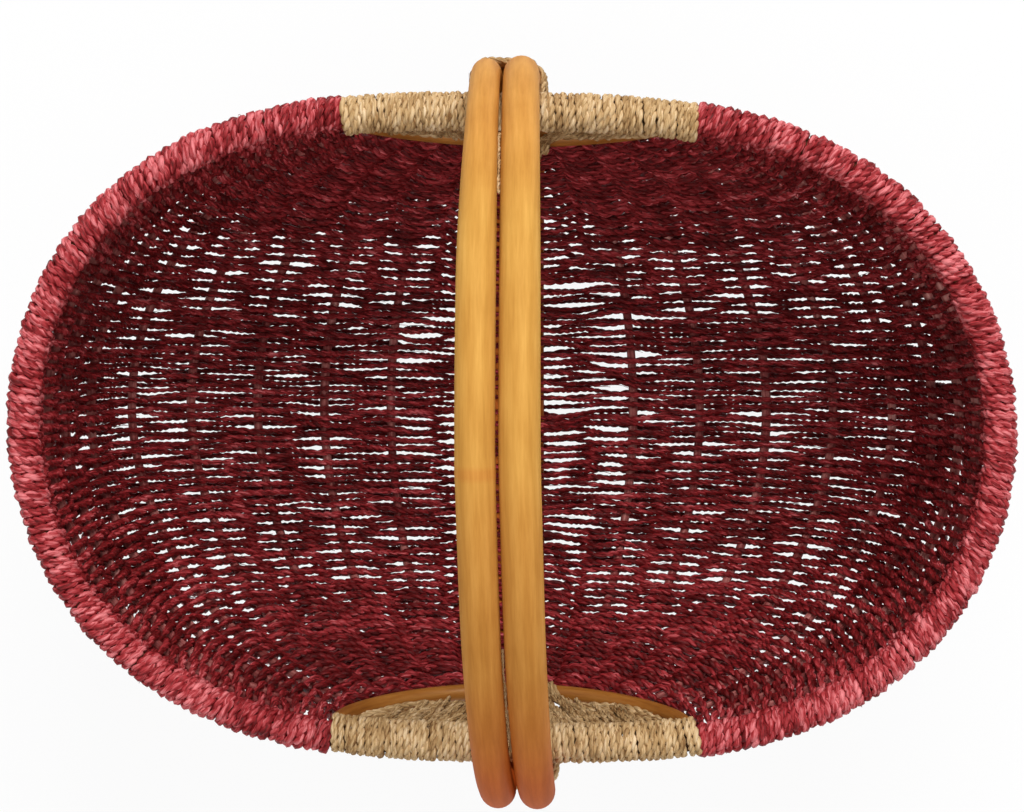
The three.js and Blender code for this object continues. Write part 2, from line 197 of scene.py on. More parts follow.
# Sweep a round section along each line of a stack. The fibres in the map go once round in lean millimetres
def sweep(name, lines, radius, sides, tones=None, closed=False, lean=0.0):
    vertsAll, quadsAll, uvAll, toneAll = [], [], [], []
    start = 0
    turn = 2 * math.pi * np.arange(sides) / sides
    for index, line in enumerate(lines):
        count = len(line)
        s = lengths(line)
        side, other = framesAlong(line, closed)
        size = np.broadcast_to(radius[index], (count,))[:, None]
        ring = (line[:, None, :] + (size * np.cos(turn))[..., None] * side[:, None, :]
                + (size * np.sin(turn))[..., None] * other[:, None, :])
        spans = count if closed else count - 1
        i = np.arange(spans)[:, None]
        k = np.arange(sides)[None, :]
        here = i * sides
        ahead = ((i + 1) % count) * sides
        quads = np.stack([here + k, here + (k + 1) % sides, ahead + (k + 1) % sides, ahead + k], axis=-1)
        quads = quads.reshape(-1, 4)
        u0 = np.broadcast_to(s[:spans, None], (spans, sides))
        u1 = np.broadcast_to((s[:spans] + np.r_[np.diff(s), s[1]][:spans])[:, None], (spans, sides))
        v0 = np.broadcast_to(k / sides, (spans, sides))
        v1 = v0 + 1 / sides
        corners = [np.stack(corner, -1) for corner in ((u0, v0), (u0, v1), (u1, v1), (u1, v0))]
        uv = np.stack(corners, axis=2).reshape(-1, 4, 2)
        if lean:
            uv[..., 1] += uv[..., 0] / lean
        if not closed:
            lids = []
            for base, flip in ((0, True), ((count - 1) * sides, False)):
                for j in range(sides // 2 - 1):
                    lid = [base + j, base + j + 1, base + sides - 2 - j, base + sides - 1 - j]
                    lids.append(lid[::-1] if flip else lid)
            quads = np.vstack([quads, np.array(lids)])
            uv = np.vstack([uv, np.zeros((len(lids), 4, 2))])
        vertsAll.append(ring.reshape(-1, 3))
        quadsAll.append(quads + start)
        uvAll.append(uv * [0.01, 1])
        toneAll.append(np.full(count * sides, tones[index] if tones is not None else 0.5))
        start += count * sides
    verts, quads, uv = [np.vstack(rows) for rows in (vertsAll, quadsAll, uvAll)]
    return newMesh(name, verts, quads, uv, np.concatenate(toneAll))


# Two plies laid round each other along every line, each with a shade of its own
ply = dict(out=0.40, size=0.61, sides=6, shade=0.16, lean=24.0, driftBeat=11)


def layCord(name, lines, sizes, tones, lay, drift):
    strands, radii, shades = [], [], []
    for line, size, tone in zip(lines, sizes, tones):
        s = lengths(line)
        side, other = framesAlong(line)
        spin = 2 * math.pi * s / lay + rng.uniform(0, 6.28)
        spin = spin + drift * wander(len(line), max(3, int(s[-1] / ply["driftBeat"])))
        for half in (0, math.pi):
            out = side * np.cos(spin + half)[:, None] + other * np.sin(spin + half)[:, None]
            strands.append(line + out * (ply["out"] * size)[:, None])
            radii.append(ply["size"] * size)
            shades.append(np.clip(tone + rng.normal(0, ply["shade"]), 0, 1))
    return sweep(name, strands, radii, ply["sides"], tones=shades, lean=ply["lean"])


def addPiece(mesh, material, nodes=()):
    piece = bpy.data.objects.new(mesh.name, mesh)
    bpy.context.scene.collection.objects.link(piece)
    mesh.materials.append(material)
    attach(piece, "root")
    if nodes:
        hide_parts(*nodes)
    return piece


# Materials
def newMaterial(name):
    material = bpy.data.materials.new(name)
    material.use_nodes = True
    return material, material.node_tree, material.node_tree.nodes["Principled BSDF"]


def addNode(tree, kind, **values):
    node = tree.nodes.new(kind)
    for key, value in values.items():
        if key.startswith("in_"):
            node.inputs[key[3:].replace("_", " ")].default_value = value
        else:
            setattr(node, key, value)
    return node


def setRamp(node, stops):
    ramp = node.color_ramp
    while len(ramp.elements) > 1:
        ramp.elements.remove(ramp.elements[-1])
    ramp.elements[0].position = stops[0][0]
    ramp.elements[0].color = (*stops[0][1], 1)
    for place, colour in stops[1:]:
        ramp.elements.new(place).color = (*colour, 1)


# Dyed or natural grass: strands run with the lay of the cord, each row with its own tone
def grassMaterial(name, look):
    material, tree, bsdf = newMaterial(name)
    links = tree.links
    fibre = addNode(tree, "ShaderNodeUVMap", uv_map="fibre")
    stretch = addNode(tree, "ShaderNodeMapping")
    stretch.inputs["Scale"].default_value = (look["alongScale"], look["roundScale"], 1)
    links.new(fibre.outputs["UV"], stretch.inputs["Vector"])
    tone = addNode(tree, "ShaderNodeAttribute", attribute_name="tone")
    strands = addNode(tree, "ShaderNodeTexNoise", noise_dimensions="4D",
                      in_Scale=1.0, in_Detail=4.0, in_Roughness=0.6)
    links.new(stretch.outputs["Vector"], strands.inputs["Vector"])
    seed = addNode(tree, "ShaderNodeMath", operation="MULTIPLY")
    seed.inputs[1].default_value = 91.0  # far enough that no two cords share their strands
    links.new(tone.outputs["Fac"], seed.inputs[0])
    links.new(seed.outputs["Value"], strands.inputs["W"])
    place = addNode(tree, "ShaderNodeNewGeometry")
    patches = addNode(tree, "ShaderNodeTexNoise", in_Scale=look["patchScale"], in_Detail=3.0)
    links.new(place.outputs["Position"], patches.inputs["Vector"])
    # strand noise, row tone and patches add up to one place on the ramp
    rowShift = addNode(tree, "ShaderNodeMapRange")
    rowShift.inputs["To Min"].default_value = -look["rowSpread"]
    rowShift.inputs["To Max"].default_value = look["rowSpread"]
    links.new(tone.outputs["Fac"], rowShift.inputs["Value"])
    patchShift = addNode(tree, "ShaderNodeMapRange")
    patchShift.inputs["From Min"].default_value = 0.3
    patchShift.inputs["From Max"].default_value = 0.7
    patchShift.inputs["To Min"].default_value = -look["patchSpread"]
    patchShift.inputs["To Max"].default_value = look["patchSpread"]
    links.new(patches.outputs["Fac"], patchShift.inputs["Value"])
    streaks = addNode(tree, "ShaderNodeMapRange", clamp=False)
    streaks.inputs["To Min"].default_value = 0.5 - 0.5 * look["contrast"]
    streaks.inputs["To Max"].default_value = 0.5 + 0.5 * look["contrast"]
    links.new(strands.outputs["Fac"], streaks.inputs["Value"])
    first = addNode(tree, "ShaderNodeMath", operation="ADD")
    links.new(streaks.outputs["Result"], first.inputs[0])
    links.new(rowShift.outputs["Result"], first.inputs[1])
    second = addNode(tree, "ShaderNodeMath", operation="ADD")
    links.new(first.outputs["Value"], second.inputs[0])
    links.new(patchShift.outputs["Result"], second.inputs[1])
    # painted shade and painted light by height: darker low down deep inside, and lighter up to the rim
    height = addNode(tree, "ShaderNodeSeparateXYZ")
    links.new(place.outputs["Position"], height.inputs["Vector"])
    heightShade = addNode(tree, "ShaderNodeMapRange")
    heightShade.inputs["From Min"].default_value = look["paintedShadeFrom"][0]
    heightShade.inputs["From Max"].default_value = look["paintedShadeTo"][0]
    heightShade.inputs["To Min"].default_value = look["paintedShadeFrom"][1]
    heightShade.inputs["To Max"].default_value = look["paintedShadeTo"][1]
    links.new(height.outputs["Z"], heightShade.inputs["Value"])
    third = addNode(tree, "ShaderNodeMath", operation="ADD")
    links.new(second.outputs["Value"], third.inputs[0])
    links.new(heightShade.outputs["Result"], third.inputs[1])
    ramp = addNode(tree, "ShaderNodeValToRGB")
    setRamp(ramp, look["stops"])
    links.new(third.outputs["Value"], ramp.inputs["Fac"])
    links.new(ramp.outputs["Color"], bsdf.inputs["Base Color"])
    bump = addNode(tree, "ShaderNodeBump", in_Strength=look["bump"], in_Distance=0.001)
    links.new(strands.outputs["Fac"], bump.inputs["Height"])
    links.new(bump.outputs["Normal"], bsdf.inputs["Normal"])
    bsdf.inputs["Roughness"].default_value = look["rough"]
    bsdf.inputs["Specular IOR Level"].default_value = look["shine"]
    return material


# Cane: fine lines along its length, slow changes of colour, and darker joints
def caneMaterial(name, look):
    material, tree, bsdf = newMaterial(name)
    links = tree.links
    fibre = addNode(tree, "ShaderNodeUVMap", uv_map="fibre")
    stretch = addNode(tree, "ShaderNodeMapping")
    stretch.inputs["Scale"].default_value = (look["alongScale"], look["roundScale"], 1)
    links.new(fibre.outputs["UV"], stretch.inputs["Vector"])
    grain = addNode(tree, "ShaderNodeTexNoise", in_Scale=1.0, in_Detail=5.0, in_Roughness=0.65)
    links.new(stretch.outputs["Vector"], grain.inputs["Vector"])
    place = addNode(tree, "ShaderNodeNewGeometry")
    slow = addNode(tree, "ShaderNodeTexNoise", in_Scale=look["patchScale"], in_Detail=3.0)
    links.new(place.outputs["Position"], slow.inputs["Vector"])
    mixed = addNode(tree, "ShaderNodeMix")
    mixed.inputs["Factor"].default_value = look["patchShare"]
    links.new(grain.outputs["Fac"], mixed.inputs["A"])
    links.new(slow.outputs["Fac"], mixed.inputs["B"])
    ramp = addNode(tree, "ShaderNodeValToRGB")
    setRamp(ramp, look["stops"])
    links.new(mixed.outputs["Result"], ramp.inputs["Fac"])
    # darker by the tone: at the joints and with age, and painted shade towards the cane ends and below the
    # rim
    tone = addNode(tree, "ShaderNodeAttribute", attribute_name="tone")
    ageAndShade = addNode(tree, "ShaderNodeMix", data_type="RGBA", blend_type="MULTIPLY")
    ageAndShade.inputs["B"].default_value = (*look["ageAndShade"], 1)
    links.new(tone.outputs["Fac"], ageAndShade.inputs["Factor"])
    links.new(ramp.outputs["Color"], ageAndShade.inputs["A"])
    links.new(ageAndShade.outputs["Result"], bsdf.inputs["Base Color"])
    bump = addNode(tree, "ShaderNodeBump", in_Strength=look["bump"], in_Distance=0.0004)
    links.new(grain.outputs["Fac"], bump.inputs["Height"])
    links.new(bump.outputs["Normal"], bsdf.inputs["Normal"])
    bsdf.inputs["Roughness"].default_value = look["rough"]
    bsdf.inputs["Coat Weight"].default_value = look["coat"]
    bsdf.inputs["Coat Roughness"].default_value = 0.25
    bsdf.inputs["Specular IOR Level"].default_value = look["shine"]
    return material


redGrass = grassMaterial("red grass", dict(
    alongScale=9.0, roundScale=6.0, patchScale=110.0, rowSpread=0.10, patchSpread=0.12, contrast=1.5,
    bump=0.8, rough=0.5, shine=0.18,
    # painted shade below about 170 mm, darkest from 140 mm down, and painted light above it up to the rim
    paintedShadeFrom=(0.140, -0.11), paintedShadeTo=(0.190, 0.074),
    stops=[(0.18, (0.065, 0.0016, 0.0019)), (0.42, (0.180, 0.0088, 0.0104)), (0.58, (0.395, 0.033, 0.039)),
           (0.82, (0.760, 0.215, 0.225))]))
strawGrass = grassMaterial("natural grass", dict(
    alongScale=9.0, roundScale=6.0, patchScale=110.0, rowSpread=0.10, patchSpread=0.10, contrast=1.4,
    bump=0.8, rough=0.62, shine=0.2,
    # painted shade: darker from 187 mm down to 150 mm and below
    paintedShadeFrom=(0.150, -0.10), paintedShadeTo=(0.187, 0.0),
    stops=[(0.20, (0.190, 0.085, 0.024)), (0.42, (0.460, 0.285, 0.122)), (0.60, (0.650, 0.450, 0.235)),
           (0.82, (0.830, 0.640, 0.410))]))
honeyCane = caneMaterial("honey cane", dict(
    alongScale=2.2, roundScale=14.0, patchScale=22.0, patchShare=0.35, bump=0.08, rough=0.55, coat=0.0,
    # colour the tone multiplies in: dark joints, age at the ends, and painted shade at the ends and below
    # the rim
    ageAndShade=(0.82, 0.20, 0.06), shine=0.03,
    stops=[(0.30, (0.440, 0.202, 0.036)), (0.46, (0.545, 0.272, 0.055)), (0.60, (0.630, 0.338, 0.076)),
           (0.78, (0.690, 0.400, 0.110))]))
amberCane = caneMaterial("amber cane", dict(
    alongScale=3.0, roundScale=10.0, patchScale=30.0, patchShare=0.35, bump=0.1, rough=0.46, coat=0.2,
    ageAndShade=(0.55, 0.40, 0.30), shine=0.15,
    stops=[(0.30, (0.190, 0.060, 0.009)), (0.48, (0.320, 0.115, 0.018)), (0.64, (0.420, 0.175, 0.034)),
           (0.80, (0.520, 0.250, 0.065))]))
ribCane = caneMaterial("stained rib cane", dict(
    alongScale=2.5, roundScale=7.0, patchScale=40.0, patchShare=0.45, bump=0.25, rough=0.62, coat=0.0,
    ageAndShade=(0.55, 0.40, 0.38), shine=0.15,
    stops=[(0.34, (0.110, 0.012, 0.012)), (0.46, (0.240, 0.048, 0.045)), (0.56, (0.430, 0.145, 0.130)),
           (0.68, (0.660, 0.340, 0.300))]))
# the rim cane's colour is painted shade: dark so that the gaps between the windings look shaded
shadedRimCane = caneMaterial("rim cane painted dark as shade", dict(
    alongScale=3.0, roundScale=8.0, patchScale=30.0, patchShare=0.3, bump=0.2, rough=0.7, coat=0.0,
    ageAndShade=(0.5, 0.4, 0.35), shine=0.1,
    stops=[(0.30, (0.060, 0.020, 0.010)), (0.55, (0.110, 0.040, 0.018)), (0.80, (0.170, 0.070, 0.030))]))
print("materials made")

# Rim cane, thinner and set a little outward so that the windings hide it. Its dark colour is painted shade
# in the gaps between the windings
core = dict(points=240, sides=12, out=2.0, thinner=1.0, tone=0.3)
rimAngles = np.linspace(0, 2 * math.pi, core["points"], endpoint=False)
rimX = rim["long"] * np.sign(np.cos(rimAngles)) * np.abs(np.cos(rimAngles)) ** (2 / rim["power"])
rimLine = np.column_stack([rimX, rim["wide"] * np.sin(rimAngles), np.full(core["points"], rim["z"])])
rimLine, _ = evenly(np.vstack([rimLine, rimLine[:1]]), core["points"] + 1)
rimLine = rimLine[:-1] * [1 + core["out"] / rim["long"], 1 + core["out"] / rim["wide"], 1]
mesh = sweep("rim_cane", [rimLine], [rim["cane"] - core["thinner"]], core["sides"],
             closed=True, tones=[core["tone"]])
addPiece(mesh, shadedRimCane, ["rim_hoop"])

# Handle hoops: two canes side by side, the lower half running under the floor
cane = dict(points=500, sides=28, smooth=60, sidePoints=60, archPoints=200,
            radius=dict(left=8.2, right=8.5), seam=0.6, uneven=0.008,
            taper=dict(left=0.15, right=0.02), taperY=(70, 165), taperDrop=30,  # thinner at the back
            joints=dict(left=(0.505, 0.21), right=(0.82,)), jointSwell=0.02, jointWidth=5.0,
            jointDark=0.3, jointLine=1.6,
            # darkness along the cane from front to back: partly age, partly painted shade at both ends
            ageAndShadeAt=(-170, -140, -117, -85, -30, 0, 92, 129, 165),  # from front to back
            ageAndShadeBy=(0.9, 0.75, 0.5, 0.25, 0.15, 0.05, 0.0, 0.18, 0.2),
            # painted shade on the canes below the rim, under the weave
            lowShade=0.7, lowDrop=60)  # under the rim
archAngles = np.linspace(crossAngle, 0, cane["sidePoints"])
topAngles = np.linspace(0, math.pi / 2, cane["archPoints"])[1:]
archY = np.r_[hoop["flat"] + (hoopOut - hoop["flat"]) * np.cos(archAngles), hoopOut * np.cos(topAngles)]
archZ = np.r_[rim["z"] + hoopDeep * np.sin(archAngles), rim["z"] + hoop["rise"] * np.sin(topAngles)]
halfHoop = np.vstack([keelLine, np.column_stack([archY, archZ])[1:]])
fullHoop = np.vstack([halfHoop, (halfHoop * [-1, 1])[::-1][1:-1]])
for side, sign in (("left", -1), ("right", 1)):
    line = np.column_stack([handleShift(fullHoop[:, 0], fullHoop[:, 1]), fullHoop])
    line, caneLength = evenly(np.vstack([line, line[:1]]), cane["points"] + 1)
    line = relax(line, cane["smooth"])[:-1]
    share = np.linspace(0, 1, cane["points"], endpoint=False)
    atBack = smoothstep(*cane["taperY"], line[:, 1])
    atBack = atBack * smoothstep(rim["z"] - cane["taperDrop"], rim["z"], line[:, 2])
    thick = cane["radius"][side] * (1 - cane["taper"][side] * atBack)
    thick = thick * (1 + cane["uneven"] * np.cos(2 * math.pi * (3 * share + 0.2 * sign)))
    line[:, 0] += sign * (thick + cane["seam"])
    dark = np.zeros(cane["points"])
    for joint in cane["joints"][side]:
        away = np.abs(share - joint) * caneLength
        thick *= 1 + cane["jointSwell"] * np.exp(-(away / cane["jointWidth"]) ** 2)
        dark = np.maximum(dark, cane["jointDark"] * np.exp(-(away / cane["jointLine"]) ** 2))
    # joints dark by themselves; the ends darker partly with age and partly as painted shade, and the parts
    # below the rim as painted shade
    dark = np.clip(dark + np.interp(line[:, 1], cane["ageAndShadeAt"], cane["ageAndShadeBy"]), 0, 1)
    dark = dark + (cane["lowShade"] - dark) * smoothstep(rim["z"], rim["z"] - cane["lowDrop"], line[:, 2])
    mesh = sweep("handle_cane_" + side, [line], [thick], cane["sides"], closed=True, tones=[0.0])
    mesh.attributes["tone"].data.foreach_set("value", np.repeat(dark, cane["sides"]).astype(np.float32))
    addPiece(mesh, honeyCane, ["handle_hoop_" + side])
print("canes made")

# Ear bows, shifted towards the back: in the middle, and further at the ends
bowBend = dict(points=90, sides=16, shift=dict(front=(2.0, 1.5), back=(0.3, 0.225)))
bowAngles = np.linspace(0, math.pi, bowBend["points"])
bowEndY = rimY(bow["wide"])
for ear, sign in (("front", -1), ("back", 1)):
    lift = np.sin(bowAngles)
    middle, further = bowBend["shift"][ear]
    y = sign * (bowEndY + (bowMidY - bowEndY) * lift ** 2) + middle + further * (1 - lift)
    line = np.column_stack([bow["wide"] * np.cos(bowAngles), y, wallTop - (wallTop - bowMidZ) * lift])
    mesh = sweep("bow_" + ear, [line], [bow["cane"]], bowBend["sides"], tones=[0.0])
    addPiece(mesh, amberCane, ["ear_bow_" + ear])

# Ribs, ending under the last rows at the ears
ribs = dict(end=0.966, points=90, sides=10, uneven=0.06, beats=9, tip=0.6, tipFrom=0.9, darkest=0.5)
for side, sign in (("left", -1), ("right", 1)):
    for index, share in enumerate(ribShares):
        along = np.linspace(-ribs["end"], ribs["end"], ribs["points"])
        line = relax(bodyPoint(np.full(ribs["points"], sign * share), along), 2)
        thick = basket["rib"] * (1 + ribs["uneven"] * wander(ribs["points"], ribs["beats"]))
        full = smoothstep(1, ribs["tipFrom"], np.abs(along) / ribs["end"])
        thick = thick * (ribs["tip"] + (1 - ribs["tip"]) * full)
        tone = rng.uniform(0, ribs["darkest"])
        mesh = sweep(f"split_rib_{side}_{index + 1}", [line], [thick], ribs["sides"], tones=[tone])
        addPiece(mesh, ribCane, [f"rib_{side}_{index + 1}"])
print("ribs and bows made")

# Red weave: rows from rim to rim, over and under the ribs and the pair of canes.
# Three rows in four turn round the rim, and the others end under it
weave = dict(rows=148, turns=111, pieces=12, points=700, finePoints=900, step=1.5, smooth=14,
             spread=0.988, edge=0.994, nearest=0.992, limit=0.998, turnedEnd=0.962, plainEnd=0.985,
             fan=1.8, fannedOut=0.4, keelHalf=12, besideTo=1.1,
             cord=1.6, lay=9.5, drift=2.2, thin=1.3, thick=2.05, fill=0.67, floorFill=0.65, overRib=1.14,
             over=3.3, under=3.4, floorOver=3.8, floorUnder=5.6, levelFrom=0.9,
             rimCord=2.8, rimTurn=6.1, rimAside=2.25)
# how uneven the rows are: slow and fast wander, patches, and loose or tight gaps
uneven = dict(wander=0.45, ripple=0.6, drag=0.55, patchy=0.8, gaps=0.85, size=0.08, leftLoose=0.7, calm=0.9,
              pairShape=1.5, pairScale=0.667, mostShift=2.2, edgeShare=0.3, swell=0.11, cordSpread=0.04,
              tilt=0.22, turnPlace=0.15, turnWander=0.3, turnLoose=0.3, turnRipple=0.15, turnSize=0.06)
# rows hold tight to the canes out to here, and are free at the least distance
# or at this share of the way to the first rib
keelHold = dict(tight=16, least=20, share=0.78)
# how far neighbouring rows draw together at each rib, counted from the canes out to the rim
pairAt = np.array([0, 0.8, 1, 1.5, 2, 3, 4, 5, 6, 7, 8, 9])
pairBy = np.array([1.4, 1.15, 0.65, 0.26, 0.26, 0.26, 0.26, 0.28, 0.28, 0.25, 0.16, 0.0])
# how much looser the rows are beside the handle on the right, from the front ear to the back
wornAt = np.array([-0.6, -0.4, -0.1, 0.0, 0.45, 0.6])
wornBy = np.array([0.85, 1.3, 1.3, 2.3, 2.3, 0.85])
# where the red begins along the rim, left and right of the middle
bandEnds = dict(front=(86.0, 89.0), back=(81.0, 88.0))


# slow changes over the whole wall: some patches are woven tight and others loose
def patchwork(rowBeats, columnBeats):
    coarse = rng.normal(0, 1, (rowBeats, columnBeats))
    at = np.linspace(0, columnBeats - 1, weave["points"])
    wide = np.array([np.interp(at, np.arange(columnBeats), line) for line in coarse])
    at = np.linspace(0, rowBeats - 1, weave["rows"] + 2)
    return np.array([np.interp(at, np.arange(rowBeats), line) for line in wide.T]).T


drag = uneven["drag"] * patchwork(74, 44)
loose = uneven["patchy"] * patchwork(40, 70) + uneven["patchy"] * patchwork(12, 16)

# each end of the rim from the front ear to the back, by length
endRims = []
for front, back in zip(bandEnds["front"], bandEnds["back"]):
    turns = [math.acos((reach / rim["long"]) ** (rim["power"] / 2)) for reach in (front, back)]
    t = np.linspace(-turns[0], turns[1], 2000)
    flat = np.column_stack([rim["long"] * np.abs(np.cos(t)) ** (2 / rim["power"]), rim["wide"] * np.sin(t)])
    endRims.append((lengths(flat), flat))
rowShares = (np.arange(weave["rows"]) + 0.5) / weave["rows"]
keelAlong = np.r_[-weave["edge"], (2 * rowShares - 1) * weave["spread"], weave["edge"]]
rimAlong = []
for s, flat in endRims:
    rowY = np.interp(rowShares * s[-1], s, flat[:, 1])
    atRim = np.interp(np.abs(rowY) / earEndY * crossY, keelLine[:, 0], keelShare) * np.sign(rowY)
    atRim = np.clip(atRim, -weave["nearest"], weave["nearest"])
    rimAlong.append(np.r_[-weave["edge"], atRim, weave["edge"]])
rimAlong = np.array(rimAlong)
rimStep = np.gradient(rimAlong, axis=1)


def rimPlace(side, s):
    table, flat = endRims[int(side > 0)]
    at, ahead, behind = [np.column_stack([np.interp(s + d, table, column) for column in flat.T])
                         for d in (0, 0.5, -0.5)]
    run = ahead - behind
    out = np.column_stack([run[:, 1], -run[:, 0]]) / np.maximum(np.linalg.norm(run, axis=1), 1e-9)[:, None]
    return at * [side, 1], out * [side, 1]


# degrees round the rim from its outer side: from under it, over the top, to under it again
wrap = dict(first=248, last=-72, closed=-112, points=40)


def wrapAngles(inside, last):
    angle = np.radians(np.linspace(wrap["first"], last, wrap["points"]))
    return angle if inside else angle[::-1]


# once round the rim
def rimTurn(side, row, inside):
    span = endRims[int(side > 0)][0][-1]
    turn = (row - 1) // 4 * 3 + (row - 1) % 4
    s = (turn + 0.5) / weave["turns"] * span + rng.normal(0, uneven["turnPlace"])
    tilt = span / weave["turns"] * (1 + rng.normal(0, uneven["tilt"]))
    angle = wrapAngles(inside, wrap["last"])
    lean = tilt * (math.pi / 2 - angle) / (2 * math.pi)
    place, out = rimPlace(side, s - side * lean + uneven["turnWander"] * wander(wrap["points"], 4))
    radius = weave["rimTurn"] + rng.uniform(-uneven["turnLoose"], uneven["turnLoose"])
    radius = radius + uneven["turnRipple"] * wander(wrap["points"], 4)
    flat = place + out * (weave["rimAside"] + radius * np.cos(angle))[:, None]
    return np.column_stack([flat, rim["z"] + radius * np.sin(angle)])


# what a row passes on its way out, as shares and as counted steps: the canes, each rib and the rim
warpKnots = np.r_[0, weave["keelHalf"] / endLength, ribShares, 1]
warpPhases = np.r_[0, 0, np.arange(1, basket["ribs"] + 2)]


# the first and last rows lie along the bows and stop short of the rim
def rowLine(row):
    points = weave["points"]
    edge = row in (0, weave["rows"] + 1)
    turned = row % 4 > 0 and not edge
    farthest = weave["turnedEnd"] if turned else weave["plainEnd"]
    across = np.linspace(-farthest, farthest, points)
    a = np.abs(across)
    right = (across > 0).astype(int)
    phase = np.interp(a, warpKnots, warpPhases)
    swing = np.cos(math.pi * (phase + row))
    # rows draw together in pairs, most beside the canes, and looser to the right of the handle
    calm = 1 - uneven["calm"] * keelAlong[row] ** 2
    worn = np.interp(keelAlong[row], wornAt, wornBy)
    shift = np.zeros(points)
    for index, first in ((0, uneven["leftLoose"]), (1, worn)):
        amount = pairBy * np.r_[first, first, (1 + first) / 2, np.ones(9)] * calm
        amount = amount * rng.gamma(uneven["pairShape"], uneven["pairScale"], len(pairAt))
        shift = np.where(right == index, np.interp(phase, pairAt, amount), shift)
    shift = np.minimum(shift * np.exp(uneven["gaps"] * loose[row]), uneven["mostShift"])
    # rows fan out from the keel to their places along the rim
    fan = a ** weave["fan"]
    along = keelAlong[row] + (rimAlong[right, row] - keelAlong[row]) * fan
    even = 2 * weave["spread"] * (1 - fan) + (rimAlong[right, -1] - rimAlong[right, 0]) * fan
    step = np.gradient(keelAlong)[row] * (1 - fan) + rimStep[right, row] * fan
    step = np.where(fan > weave["fannedOut"], step, even / weave["rows"])
    ahead = bodyPoint(across, np.clip(along + step / 2, -1, 1))
    behind = bodyPoint(across, np.clip(along - step / 2, -1, 1))
    normal = bodyNormal(across, np.clip(along, -weave["limit"], weave["limit"]))
    level = smoothstep(weave["levelFrom"], 1.0, -normal[:, 2])
    fill = weave["fill"] + (weave["floorFill"] - weave["fill"]) * level
    size = np.clip(fill * np.linalg.norm(ahead - behind, axis=1), weave["thin"], weave["thick"])
    size = size * (1 - uneven["size"] * loose[row]) * (1 + (weave["overRib"] - 1) * np.clip(swing, 0, 1))
    along = along + np.sign(keelAlong[row]) * swing * shift / keelLength
    stray = uneven["wander"] * (wander(points, 30) + wander(points, 8))
    stray = stray + uneven["ripple"] * wander(points, 64)
    besideHandle = (across > 0) & (phase < weave["besideTo"])
    stray = stray + drag[row] * (1 - fan) * np.where(besideHandle, worn, 1)
    along = along + stray * (uneven["edgeShare"] if edge else 1) / keelLength
    along = np.clip(along, -weave["limit"], weave["limit"])
    normal = bodyNormal(across, along)
    over = weave["over"] + (weave["floorOver"] - weave["over"]) * level
    under = weave["under"] + (weave["floorUnder"] - weave["under"]) * level
    point = bodyPoint(across, along) - normal * (np.where(swing > 0, over, under) * swing)[:, None]
    # round the pair of canes
    w = np.abs(along)
    out = np.column_stack([np.interp(w, keelShare, column) for column in keelOut.T])
    keelY = np.sign(along) * np.interp(w, keelShare, keelLine[:, 0])
    keelSide = np.column_stack([keelY, np.interp(w, keelShare, keelLine[:, 1])])
    out[:, 0] *= np.sign(along)
    stands = ((point[:, 1:] - keelSide) * out).sum(1)  # so far outside the canes' centre line
    reach = hoop["cane"] + weave["cord"]
    wanted = np.minimum(-reach, stands) if row % 2 == 0 else np.maximum(reach, stands)
    ribX = np.abs(bodyPoint(np.full(points, ribShares[0]), along)[:, 0])
    freeAt = np.maximum(keelHold["least"], keelHold["share"] * ribX)
    near = 1 - smoothstep(keelHold["tight"], freeAt, np.abs(point[:, 0]))
    point[:, 1:] += out * ((wanted - stands) * near)[:, None]
    whole = np.column_stack([point, size])
    if turned:
        inside = math.cos(math.pi * (basket["ribs"] + 1 + row)) > 0
        ends = []
        for side in (-1, 1):
            turn = rimTurn(side, row, inside)
            thick = weave["rimCord"] * (1 + rng.normal(0, uneven["turnSize"]))
            ends.append(np.column_stack([turn, np.full(len(turn), thick)]))
        whole = np.vstack([ends[0][::-1], whole, ends[1]])
    whole, length = evenly(whole, weave["finePoints"])
    whole = relax(whole, weave["smooth"])
    return evenly(whole, int(length / weave["step"]))


perPiece = math.ceil((weave["rows"] + 2) / weave["pieces"])
redLines, redSizes = [], []
for number in range(weave["pieces"]):
    rows = range(number * perPiece, min(weave["rows"] + 2, (number + 1) * perPiece))
    lines, sizes, tones = [], [], []
    for row in rows:
        line, length = rowLine(row)
        lines.append(line[:, :3])
        swell = 1 + uneven["swell"] * wander(len(line), max(3, int(length / 9)))
        sizes.append(line[:, 3] * (1 + rng.normal(0, uneven["cordSpread"])) * swell)
        tones.append(rng.uniform(0, 1))
    mesh = layCord(f"red_weave_{number + 1}", lines, sizes, tones, weave["lay"], weave["drift"])
    nodes = ["woven_wall", "red_rim_winding_left", "red_rim_winding_right"] if number == 0 else []
    addPiece(mesh, redGrass, nodes)
    redLines += lines
    redSizes += sizes
print("red weave made")

# Loose fibres that lift off the cords
fibre = dict(red=2600, straw=420, radius=(0.16, 0.30), sides=4, span=(4, 10), depth=0.92, lift=(0.2, 1.3),
             tip=0.5)


def addFibres(name, lines, sizes, count, material):
    strands, radii, tones = [], [], []
    for _ in range(count):
        pick = int(rng.integers(len(lines)))
        span = int(rng.integers(*fibre["span"]))
        start = int(rng.integers(1, len(lines[pick]) - span - 1))
        part = lines[pick][start:start + span + 1]
        out = np.cross(part[-1] - part[0], rng.normal(0, 1, 3))
        out /= max(np.linalg.norm(out), 1e-9)
        share = np.linspace(0, 1, span + 1)
        stand = sizes[pick][start] * fibre["depth"] + rng.uniform(*fibre["lift"]) * share ** 2
        strands.append(part + out * stand[:, None])
        radii.append(rng.uniform(*fibre["radius"]) * (1 - fibre["tip"] * share))
        tones.append(rng.uniform(0, 1))
    addPiece(sweep(name, strands, radii, fibre["sides"], tones=tones), material)


addFibres("red_fibres", redLines, redSizes, fibre["red"], redGrass)

